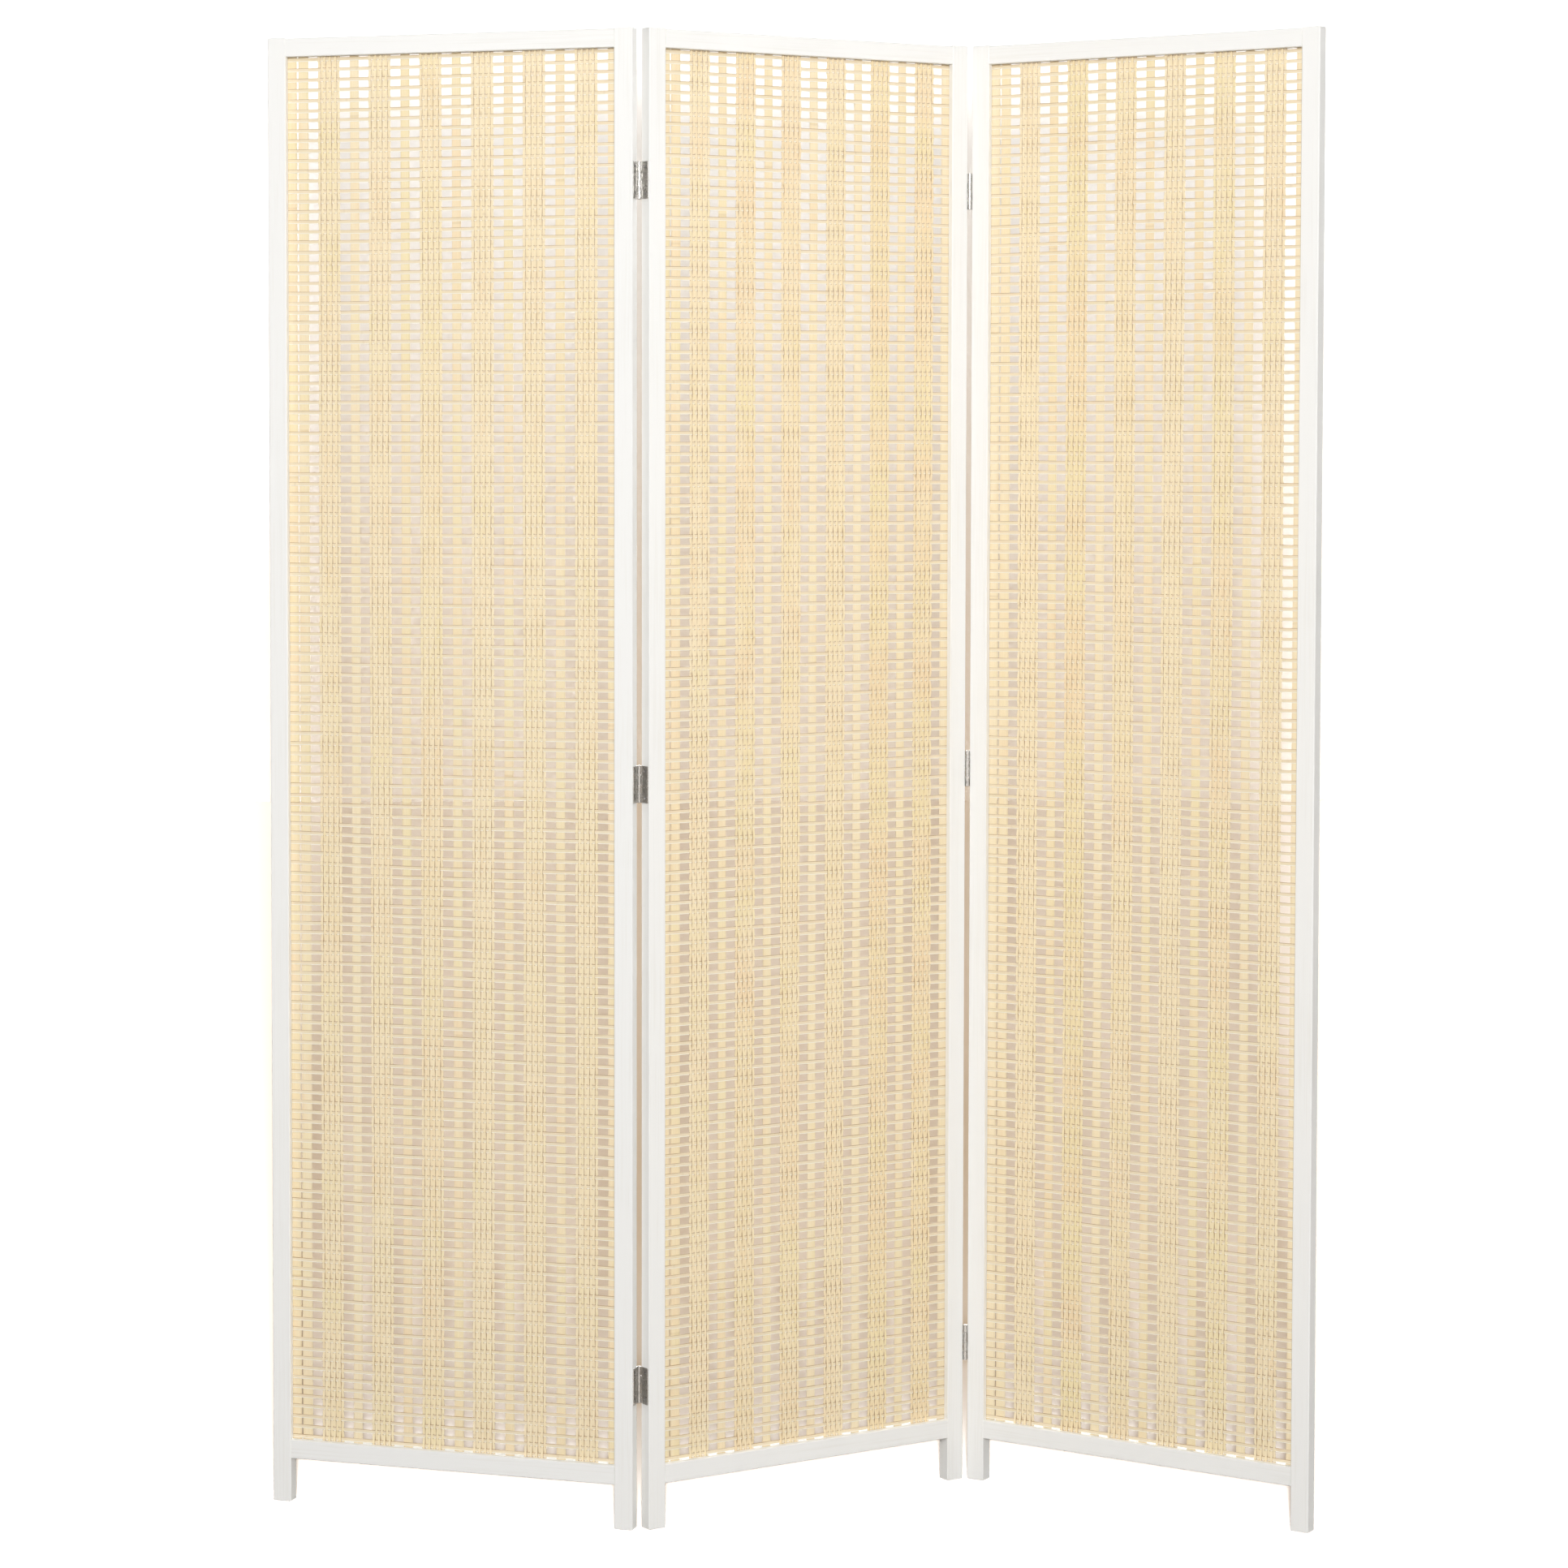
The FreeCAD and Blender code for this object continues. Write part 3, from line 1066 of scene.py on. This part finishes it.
@dataclass(frozen=True)
class ButtHinge:
    """A butt hinge. In its own axes the pin stands upright and y runs inward over the stiles."""

    fold: FoldName
    level: HingeLevel
    places: dict[PanelName, PanelPlace]
    finish: Material
    screw_finish: Material
    height: float = 42 * MM
    sheet: float = 1.0 * MM
    barrel_radius: float = 2.2 * MM
    pin_radius: float = 1.15 * MM
    pin_end: float = 0.5 * MM
    pin_dome: float = 0.35 * MM
    pin_segments: int = 24
    knuckles: int = 4
    knuckle_gap: float = 0.3 * MM
    notch_clearance: float = 0.4 * MM
    roll: float = 305.0
    roll_steps: int = 22
    leaf_width: float = 16.5 * MM
    corner_radius: float = 1.3 * MM
    corner_steps: int = 4
    edge_bevel: float = 0.14 * MM
    screw_spacing: float = 30 * MM
    screw_from_edge: float = 5.6 * MM
    screw_turns: Span = (23.0, 60.0)
    hole_segments: int = 20
    head_cells: int = 5
    head_radius: float = 2.15 * MM
    head_height: float = 0.85 * MM
    head_crown: float = 0.4 * MM
    shank_radius: float = 1.1 * MM
    recess_reach: float = 1.4 * MM
    recess_width: float = 0.75 * MM
    recess_depth: float = 0.8 * MM
    recess_taper: float = 0.6
    same_point: float = 0.0001 * MM

    @property
    def name(self) -> str:
        """What the hinge's pieces are called after."""
        return f"{self.fold.value}_fold_{self.level.value}_hinge"

    @property
    def side_panel(self) -> PanelName:
        """The side panel that the fold carries."""
        return PanelName(self.fold.value)

    def matrix(self, panel: PanelName) -> Matrix:
        """Gives the hinge's own axes as a panel carries them.

        Args:
            panel: The panel.

        Returns:
            The axes in the screen's.
        """
        low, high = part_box(f"{self.name}_pin")
        turn = self.places[panel].turn + (180 if self.fold is FoldName.LEFT else 0)
        upright = Matrix.Rotation(math.radians(turn), 4, "Z")
        return Matrix.Translation((low + high) / 2) @ upright

    def side(self, panel: PanelName) -> int:
        """Which side of the pin a panel's leaf is on, -1 or 1."""
        return -1 if panel is PanelName.MIDDLE else 1

    def knuckle_span(self, index: int) -> Span:
        """Gives the ends of a knuckle.

        Args:
            index: The knuckle, counted from the top.

        Returns:
            Its lower and upper end.
        """
        pitch = (self.height + self.knuckle_gap) / self.knuckles
        top = self.height / 2 - index * pitch
        return top - pitch + self.knuckle_gap, top

    def owned(self, panel: PanelName) -> list[int]:
        """Lists the knuckles that a panel's leaf carries."""
        return list(range(1 if panel is PanelName.MIDDLE else 0, self.knuckles, 2))

    def screw_places(self, side: int) -> list[Vector]:
        """Gives the middles of both screw heads, on a leaf's open face.

        Args:
            side: Which side of the pin the leaf is on.

        Returns:
            The lower and the upper one.
        """
        y = self.leaf_width - self.screw_from_edge
        x = side * (self.barrel_radius - self.sheet)
        return [Vector((x, y, z)) for z in (-self.screw_spacing / 2, self.screw_spacing / 2)]

    def leaf(self, panel: PanelName) -> Mesh:
        """Makes a leaf: a plate with rounded corners, two countersunk holes and rolled knuckles.

        Args:
            panel: The panel that carries it.

        Returns:
            The mesh, in place.
        """
        mesh = bmesh.new()
        self.add_plate(mesh, panel)
        for index in self.owned(panel):
            self.add_knuckle(mesh, self.side(panel), *self.knuckle_span(index))
        return self.placed(mesh, panel)

    def placed(self, mesh: Mesh, panel: PanelName) -> Mesh:
        """Turns a mesh's faces outwards and moves it to its place.

        Args:
            mesh: The mesh, in the hinge's own axes.
            panel: The panel that carries it.

        Returns:
            The same mesh.
        """
        bmesh.ops.recalc_face_normals(mesh, faces=mesh.faces)
        bmesh.ops.transform(mesh, matrix=self.matrix(panel), verts=mesh.verts)
        return mesh

    def add_plate(self, mesh: Mesh, panel: PanelName) -> None:
        """Adds the flat plate with its tongues and holes.

        Args:
            mesh: The leaf's mesh.
            panel: The panel that carries the leaf.
        """
        side = self.side(panel)
        outer = side * self.barrel_radius
        rim = [mesh.verts.new((outer, y, z)) for y, z in self.plate_outline(panel)]
        edges = [mesh.edges.new(pair) for pair in zip(rim, rim[1:] + rim[:1])]
        for place in self.screw_places(side):
            hole = Matrix.Translation(Vector((outer, place.y, place.z)))
            turn = hole @ Matrix.Rotation(math.pi / 2, 4, "Y")
            edges += edges_of(bmesh.ops.create_circle(mesh, radius=self.shank_radius, matrix=turn,
                                                      segments=self.hole_segments)["verts"])
        filled = bmesh.ops.triangle_fill(mesh, use_beauty=True, use_dissolve=False, edges=edges)
        faces = only(Face, filled["geom"])
        verts = only(Vert, bmesh.ops.extrude_face_region(mesh, geom=faces)["geom"])
        bmesh.ops.translate(mesh, vec=(-side * self.sheet, 0, 0), verts=verts)
        swell = self.head_radius / self.shank_radius
        for place in self.screw_places(side):
            ring = [vert for vert in verts if (vert.co - place).length < self.head_radius]
            bmesh.ops.scale(mesh, vec=(1, swell, swell), space=Matrix.Translation(-place),
                            verts=ring)

    def plate_outline(self, panel: PanelName) -> list[Span]:
        """Works out the plate's outline, with a tongue at each of its knuckles.

        Args:
            panel: The panel that carries the leaf.

        Returns:
            The outline's points as y and z.
        """
        half, notch = self.height / 2, self.barrel_radius + self.notch_clearance
        points = []
        for index in self.owned(panel):
            low, high = self.knuckle_span(index)
            points += [(notch, high), (0.0, high), (0.0, low), (notch, low)]
        if points[0][1] < half:
            points = [(notch, half)] + points
        if points[-1][1] > -half:
            points.append((notch, -half))
        y = self.leaf_width - self.corner_radius
        for corner, start in ((-1, -90), (1, 0)):
            z = corner * (half - self.corner_radius)
            for turn in map(math.radians, even_steps(start, start + 90, self.corner_steps)):
                points.append((y + self.corner_radius * math.cos(turn),
                               z + self.corner_radius * math.sin(turn)))
        outline = points[:1]
        for point in points[1:]:
            if math.dist(point, outline[-1]) > self.same_point:
                outline.append(point)
        return outline

    def add_knuckle(self, mesh: Mesh, side: int, low: float, high: float) -> None:
        """Adds a tongue's end, rolled round the pin.

        Args:
            mesh: The leaf's mesh.
            side: Which side of the pin the leaf is on.
            low: The knuckle's lower end.
            high: Its upper end.
        """
        inner, outer = side * (self.barrel_radius - self.sheet), side * self.barrel_radius
        corners = [mesh.verts.new((x, 0, z))
                   for x, z in ((inner, low), (outer, low), (outer, high), (inner, high))]
        face = mesh.faces.new(corners)
        bmesh.ops.spin(mesh, geom=[face] + corners + list(face.edges), cent=(0, 0, 0),
                       axis=(0, 0, 1), angle=-side * math.radians(self.roll),
                       steps=self.roll_steps, use_duplicate=False)

    def pin(self) -> Mesh:
        """Makes the pin, with its domed ends.

        Returns:
            The mesh, in place.
        """
        mesh = bmesh.new()
        bmesh.ops.create_cone(mesh, cap_ends=True, segments=self.pin_segments,
                              radius1=self.pin_radius, radius2=self.pin_radius,
                              depth=self.height + 2 * self.pin_end)
        rims = [edge for edge in mesh.edges if rise_of(edge) < self.pin_end]
        bmesh.ops.bevel(mesh, geom=rims, offset=self.pin_dome, offset_type="OFFSET",
                        affect="EDGES", segments=3, profile=0.5, material=-1)
        bmesh.ops.transform(mesh, matrix=self.matrix(PanelName.MIDDLE), verts=mesh.verts)
        return mesh

    def screws(self, panel: PanelName) -> Mesh:
        """Makes both screws of a leaf, with crossed recesses.

        Args:
            panel: The panel that carries the leaf.

        Returns:
            The mesh, in place.
        """
        side = self.side(panel)
        mesh = bmesh.new()
        face_out = Matrix.Rotation(-side * math.pi / 2, 4, "Y")
        for place, turn in zip(self.screw_places(side), self.screw_turns):
            spin = Matrix.Rotation(math.radians(turn), 4, "Z")
            self.add_screw(mesh, Matrix.Translation(place) @ face_out @ spin)
        return self.placed(mesh, panel)

    def add_screw(self, mesh: Mesh, matrix: Matrix) -> None:
        """Adds a countersunk head, made from a grid whose middle is pressed into a cross.

        Args:
            mesh: The mesh of the leaf's screws.
            matrix: The head's own axes, with its crown upward, in the hinge's.
        """
        cells, cell = self.head_cells, 2 / self.head_cells
        verts = bmesh.ops.create_grid(mesh, x_segments=cells, y_segments=cells, size=1.0)["verts"]
        cross = []
        for face in dict.fromkeys(face for vert in verts for face in vert.link_faces):
            near, far = sorted(map(abs, face.calc_center_median()[:2]))
            if far < 1.5 * cell and near < 0.5 * cell:
                cross.append(face)
        for vert in verts:
            x, y = vert.co.x, vert.co.y
            if max(abs(x), abs(y)) > 1 - 0.5 * cell:
                flat = Vector((x, y, 0)).normalized() * self.head_radius
            else:
                flat = Vector((self.recess_place(x), self.recess_place(y), 0))
            crown = self.head_crown * (1 - (flat.length / self.head_radius) ** 2)
            vert.co = Vector((flat.x, flat.y, crown))
        floor = only(Vert, bmesh.ops.extrude_face_region(mesh, geom=cross)["geom"])
        bmesh.ops.delete(mesh, geom=cross, context="FACES")
        bmesh.ops.translate(mesh, vec=(0, 0, -self.recess_depth), verts=floor)
        bmesh.ops.scale(mesh, vec=(self.recess_taper, self.recess_taper, 1), verts=floor)
        top = [vert for vert in verts if vert.is_valid]
        rim = [edge for edge in edges_of(top) if edge.is_boundary]
        neck = only(Vert, bmesh.ops.extrude_edge_only(mesh, edges=rim)["geom"])
        bmesh.ops.translate(mesh, vec=(0, 0, -self.head_height), verts=neck)
        share = self.shank_radius / self.head_radius
        bmesh.ops.scale(mesh, vec=(share, share, 1), verts=neck)
        bmesh.ops.contextual_create(mesh, geom=neck)
        bmesh.ops.transform(mesh, matrix=matrix, verts=list(dict.fromkeys(top + floor + neck)))

    def recess_place(self, share: float) -> float:
        """Gives where a grid line of the head runs, beside the recess or at its end."""
        beside = abs(share) < 2 / self.head_cells
        return math.copysign(self.recess_width / 2 if beside else self.recess_reach, share)

    def build(self) -> None:
        """Adds the hinge's leaves, pin and screws."""
        for panel, word in ((self.side_panel, "side"), (PanelName.MIDDLE, "middle")):
            body = self.places[panel].body
            node = f"{self.name}_{word}_leaf"
            leaf = add_piece(f"rolled_{node}", self.leaf(panel), self.finish, body,
                             (node,))
            soft = leaf.modifiers.new("edges", "BEVEL")
            soft.width, soft.segments, soft.limit_method = self.edge_bevel, 2, "ANGLE"
            soft.angle_limit = CRISP_ANGLE
            add_piece(f"{self.name}_{word}_screws", self.screws(panel), self.screw_finish, body)
        add_piece(f"domed_{self.name}_pin", self.pin(), self.finish,
                  self.places[PanelName.MIDDLE].body, (f"{self.name}_pin",))


# Studio

@dataclass(frozen=True)
class Camera:
    """The camera, which looks at the screen from the photograph's place."""

    place: Vector = Vector((-298.96, -4661.94, 1248.59)) * MM
    yaw: float = 1.427
    pitch: float = -2.763
    lens_mm: float = 93.196
    sensor_mm: float = 36.0
    shift: Span = (0.1, -0.1)
    clip: Span = (0.1, 200.0)

    def build(self) -> None:
        """Adds the camera and makes it the scene's."""
        data = bpy.data.cameras.new("camera")
        data.lens, data.sensor_width = self.lens_mm, self.sensor_mm
        data.shift_x, data.shift_y = self.shift
        data.clip_start, data.clip_end = self.clip
        camera = add_object("camera", data)
        camera.location = self.place
        camera.rotation_euler = (math.radians(90 + self.pitch), 0, -math.radians(self.yaw))
        bpy.context.scene.camera = camera


def add_lamp(name: str, data: bpy.types.Light, place: Vector,
             lit: bpy.types.Collection) -> bpy.types.Object:
    """Adds a lamp that the camera doesn't see.

    Args:
        name: The lamp's name.
        data: Its light.
        place: Where it hangs.
        lit: The things that it lights, or those that it spares where they are so marked.

    Returns:
        The lamp.
    """
    lamp = add_object(name, data)
    lamp.location = place
    lamp.visible_camera = False
    lamp.light_linking.receiver_collection = lit
    return lamp


@dataclass(frozen=True)
class SoftLamp:
    """A square studio lamp that faces a point and spares the floor."""

    name: str
    place: Vector
    aim: Vector
    size: float
    watts: float

    def build(self, spared: bpy.types.Collection) -> None:
        """Adds the lamp.

        Args:
            spared: The things that it doesn't light.
        """
        data = bpy.data.lights.new(self.name, "AREA")
        data.shape, data.size, data.energy = "SQUARE", self.size, self.watts
        lamp = add_lamp(self.name, data, self.place, spared)
        lamp.rotation_euler = (self.aim - self.place).to_track_quat("-Z", "Y").to_euler()


@dataclass(frozen=True)
class SteadyGlobe:
    """A soft globe lamp, as strong on far things as on near ones."""

    name: str
    place: Vector
    radius: float
    level: float
    watts_per_level: float = 40.75

    def build(self, lit: bpy.types.Collection) -> None:
        """Adds the lamp.

        Args:
            lit: The things that it lights, or those that it spares where they are so marked.
        """
        data = bpy.data.lights.new(self.name, "POINT")
        data.shadow_soft_size, data.energy = self.radius, self.level * self.watts_per_level
        data.use_nodes = True
        graph = ShaderGraph(data.node_tree)
        steady = graph.node("ShaderNodeLightFalloff", 1.0)
        glow = data.node_tree.nodes["Emission"]
        graph.join(steady.outputs["Constant"], glow.inputs["Strength"])
        add_lamp(self.name, data, self.place, lit)


class Surface(Enum):
    """The two surfaces of studio paper."""

    FLOOR = "floor"
    BACKDROP = "backdrop"


@dataclass(frozen=True)
class Glow:
    """A paper's glow, painted light in the screen's shadow: two colours and the span from one to
    the other, in metres. The near colour is darker, painting the shadow darker near the screen's
    feet and low on the backdrop, and both are warm, as if lit through the bamboo.

    The span is measured from the paper lamp on the floor, and upward on the backdrop.
    """

    near: Colour
    far: Colour
    span: Span


@dataclass(frozen=True)
class StudioPaper:
    """White paper that keeps the screen's shadow, as the camera sees it.

    The lamp's light counts for lit_share of white wherever the lamp reaches the paper. The rest is
    a glow, which only the camera sees: painted light that keeps the shadow pale and warm and paints
    it darker near the screen's feet and low on the backdrop. The colour is what the paper gives
    back to the screen.
    """

    surface: Surface
    lamp: SteadyGlobe
    lamp_distance: float
    glow: Glow
    colour: Colour = (0.0555, 0.0547, 0.0533, 1)
    lit_share: float = 0.95

    def make(self) -> Material:
        """Makes the paper.

        Returns:
            The material.
        """
        material = bpy.data.materials.new(f"studio_{self.surface.value}")
        graph = ShaderGraph.blank(material)
        seen, place = seen_share(graph), graph.object_place()
        distance = graph.node("ShaderNodeVectorMath", place, self.lamp.place,
                              operation="DISTANCE").outputs["Value"]
        gain = graph.times(distance, self.lit_share / (self.lamp.level * self.lamp_distance))
        lit = graph.mix(seen, self.colour, graph.place(gain, gain, gain))
        paper = graph.node("ShaderNodeBsdfDiffuse", lit)
        height = graph.node("ShaderNodeSeparateXYZ", place).outputs["Z"]
        measure = distance if self.surface is Surface.FLOOR else height
        # Painted light in the shadow: warm, darker near the screen's feet and low on the backdrop.
        shade = graph.mix(graph.rescale(measure, self.glow.span), self.glow.near, self.glow.far)
        glow = graph.node("ShaderNodeEmission", shade, seen)
        both = graph.node("ShaderNodeAddShader", paper.outputs[0], glow.outputs[0])
        graph.node("ShaderNodeOutputMaterial", both.outputs[0])
        return material


def seen_share(graph: ShaderGraph) -> Socket:
    """Tells what the camera sees from what lights the screen.

    Args:
        graph: The graph that needs it.

    Returns:
        The socket that holds 1 for what the camera sees, in a mirror or not, and 0 for the rest.
    """
    path = graph.node("ShaderNodeLightPath")
    seen = graph.math("MAXIMUM", path.outputs["Is Camera Ray"], path.outputs["Is Glossy Ray"])
    return graph.math("MAXIMUM", seen, path.outputs["Is Transmission Ray"])


@dataclass(frozen=True)
class Studio:
    """A white paper floor and backdrop, an even white surround and soft lamps all round.

    The key lamp and the soft lamps light the screen. The paper lamp lights only the paper, from
    near the camera's height, so that the screen's shadow lies behind it as the photograph shows.
    """

    floor_radius: float = 400.0
    floor_segments: int = 96
    # Painted light in the floor's shadow, darker near the screen's feet.
    floor_shade_glow: Glow = Glow((0.3, 0.21, 0.13, 1), (0.43, 0.3, 0.175, 1), (5.2, 6.6))
    backdrop_distance: float = 9.0
    backdrop_width: float = 240.0
    backdrop_height: float = 30.0
    # Painted light in the backdrop's shadow, darker towards the bottom.
    backdrop_shade_glow: Glow = Glow((0.53, 0.41, 0.29, 1), (0.73, 0.69, 0.64, 1), (0.4, 2.9))
    fill_level: float = 0.085
    key: SteadyGlobe = SteadyGlobe("key_lamp", Vector((-0.31, -5.0, 2.2)), 0.2, 0.535)
    paper_lamp: SteadyGlobe = SteadyGlobe("paper_lamp", Vector((-0.31, -5.0, 1.3)), 0.12, 20.0)
    lamps: tuple[SoftLamp, ...] = (
        SoftLamp("top_lamp", Vector((-0.3, -3.0, 3.6)), Vector((0, 0, 1.2)), 2.5, 50.0),
        SoftLamp("left_lamp", Vector((-4.0, -2.0, 2.2)), Vector((0, 0, 0.9)), 2.0, 7.0),
        SoftLamp("right_lamp", Vector((4.0, -2.0, 2.2)), Vector((0, 0, 0.9)), 2.0, 29.0),
        SoftLamp("back_lamp", Vector((1.0, 5.0, 2.6)), Vector((0, 0, 0.9)), 2.5, 175.0),
    )

    def build(self) -> None:
        """Adds the paper, the surround and the lamps."""
        paper, spared = (bpy.data.collections.new(name) for name in ("paper", "spared_paper"))
        for sheet in (self.build_floor(), self.build_backdrop()):
            paper.objects.link(sheet)
            spared.objects.link(sheet)
        for linked in spared.collection_objects:
            linked.light_linking.link_state = "EXCLUDE"
        self.build_surround()
        self.paper_lamp.build(paper)
        self.key.build(spared)
        for lamp in self.lamps:
            lamp.build(spared)
        bpy.context.scene.view_settings.view_transform = "Standard"

    def build_floor(self) -> bpy.types.Object:
        """Adds the floor.

        Returns:
            The sheet.
        """
        mesh = bmesh.new()
        bmesh.ops.create_circle(mesh, cap_ends=True, radius=self.floor_radius,
                                segments=self.floor_segments)
        lamp = self.paper_lamp
        return self.add_sheet(mesh, StudioPaper(Surface.FLOOR, lamp, lamp.place.z,
                                                self.floor_shade_glow))

    def build_backdrop(self) -> bpy.types.Object:
        """Adds the backdrop, which gives the screen no light.

        Returns:
            The sheet.
        """
        mesh = bmesh.new()
        verts = bmesh.ops.create_grid(mesh, x_segments=1, y_segments=1, size=0.5)["verts"]
        bmesh.ops.scale(mesh, vec=(self.backdrop_width, self.backdrop_height, 1), verts=verts)
        stand = Matrix.Translation((0, self.backdrop_distance, self.backdrop_height / 2))
        bmesh.ops.transform(mesh, matrix=stand @ Matrix.Rotation(math.pi / 2, 4, "X"), verts=verts)
        lamp = self.paper_lamp
        sheet = self.add_sheet(mesh, StudioPaper(
            Surface.BACKDROP, lamp, self.backdrop_distance - lamp.place.y, self.backdrop_shade_glow))
        sheet.visible_diffuse = sheet.visible_shadow = False
        return sheet

    def add_sheet(self, mesh: Mesh, paper: StudioPaper) -> bpy.types.Object:
        """Makes a finished mesh a sheet of paper.

        Args:
            mesh: The mesh, already in its place. It is used up.
            paper: The paper.

        Returns:
            The sheet.
        """
        sheet = add_mesh(f"studio_{paper.surface.value}", mesh, paper.make())
        sheet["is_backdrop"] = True
        return sheet

    def build_surround(self) -> None:
        """Sets the world: a low fill light, which the camera sees as plain white."""
        world = bpy.data.worlds.new("surround")
        bpy.context.scene.world = world
        graph = ShaderGraph.blank(world)
        fill = graph.node("ShaderNodeBackground", WHITE, self.fill_level)
        white = graph.node("ShaderNodeBackground", WHITE)
        choice = graph.node("ShaderNodeMixShader", seen_share(graph), fill.outputs[0],
                            white.outputs[0])
        graph.node("ShaderNodeOutputWorld", choice.outputs[0])


@dataclass(frozen=True)
class FoldingScreen:
    """The whole screen: three panels and the six hinges that join them."""

    sizes: FrameSizes = FrameSizes()
    paint: WhitePaint = WhitePaint()
    bamboo: SplitBamboo = SplitBamboo()
    steel: PlatedSteel = PlatedSteel()
    screw_steel: ScrewSteel = ScrewSteel()

    def build(self) -> None:
        """Builds and dresses every piece."""
        places = {panel: PanelPlace.from_feet(panel, self.sizes) for panel in PanelName}
        bamboo, steel, screw_steel = self.bamboo.make(), self.steel.make(), self.screw_steel.make()
        for place in places.values():
            PanelFrame(place, self.paint).dress()
            Weave(place, self.sizes, bamboo).build()
        for fold in FoldName:
            for level in HingeLevel:
                ButtHinge(fold, level, places, steel, screw_steel).build()


def corners() -> list[list[float]]:
    """The lowest and the highest corner of what is shown, as plain lists."""
    return [list(corner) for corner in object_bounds()]


def main() -> None:
    """Builds the screen and its studio."""
    logging.basicConfig(level=logging.INFO, format="%(name)s: %(message)s")
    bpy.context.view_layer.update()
    FoldingScreen().build()
    Studio().build()
    Camera().build()


if __name__ == "__main__":
    main()
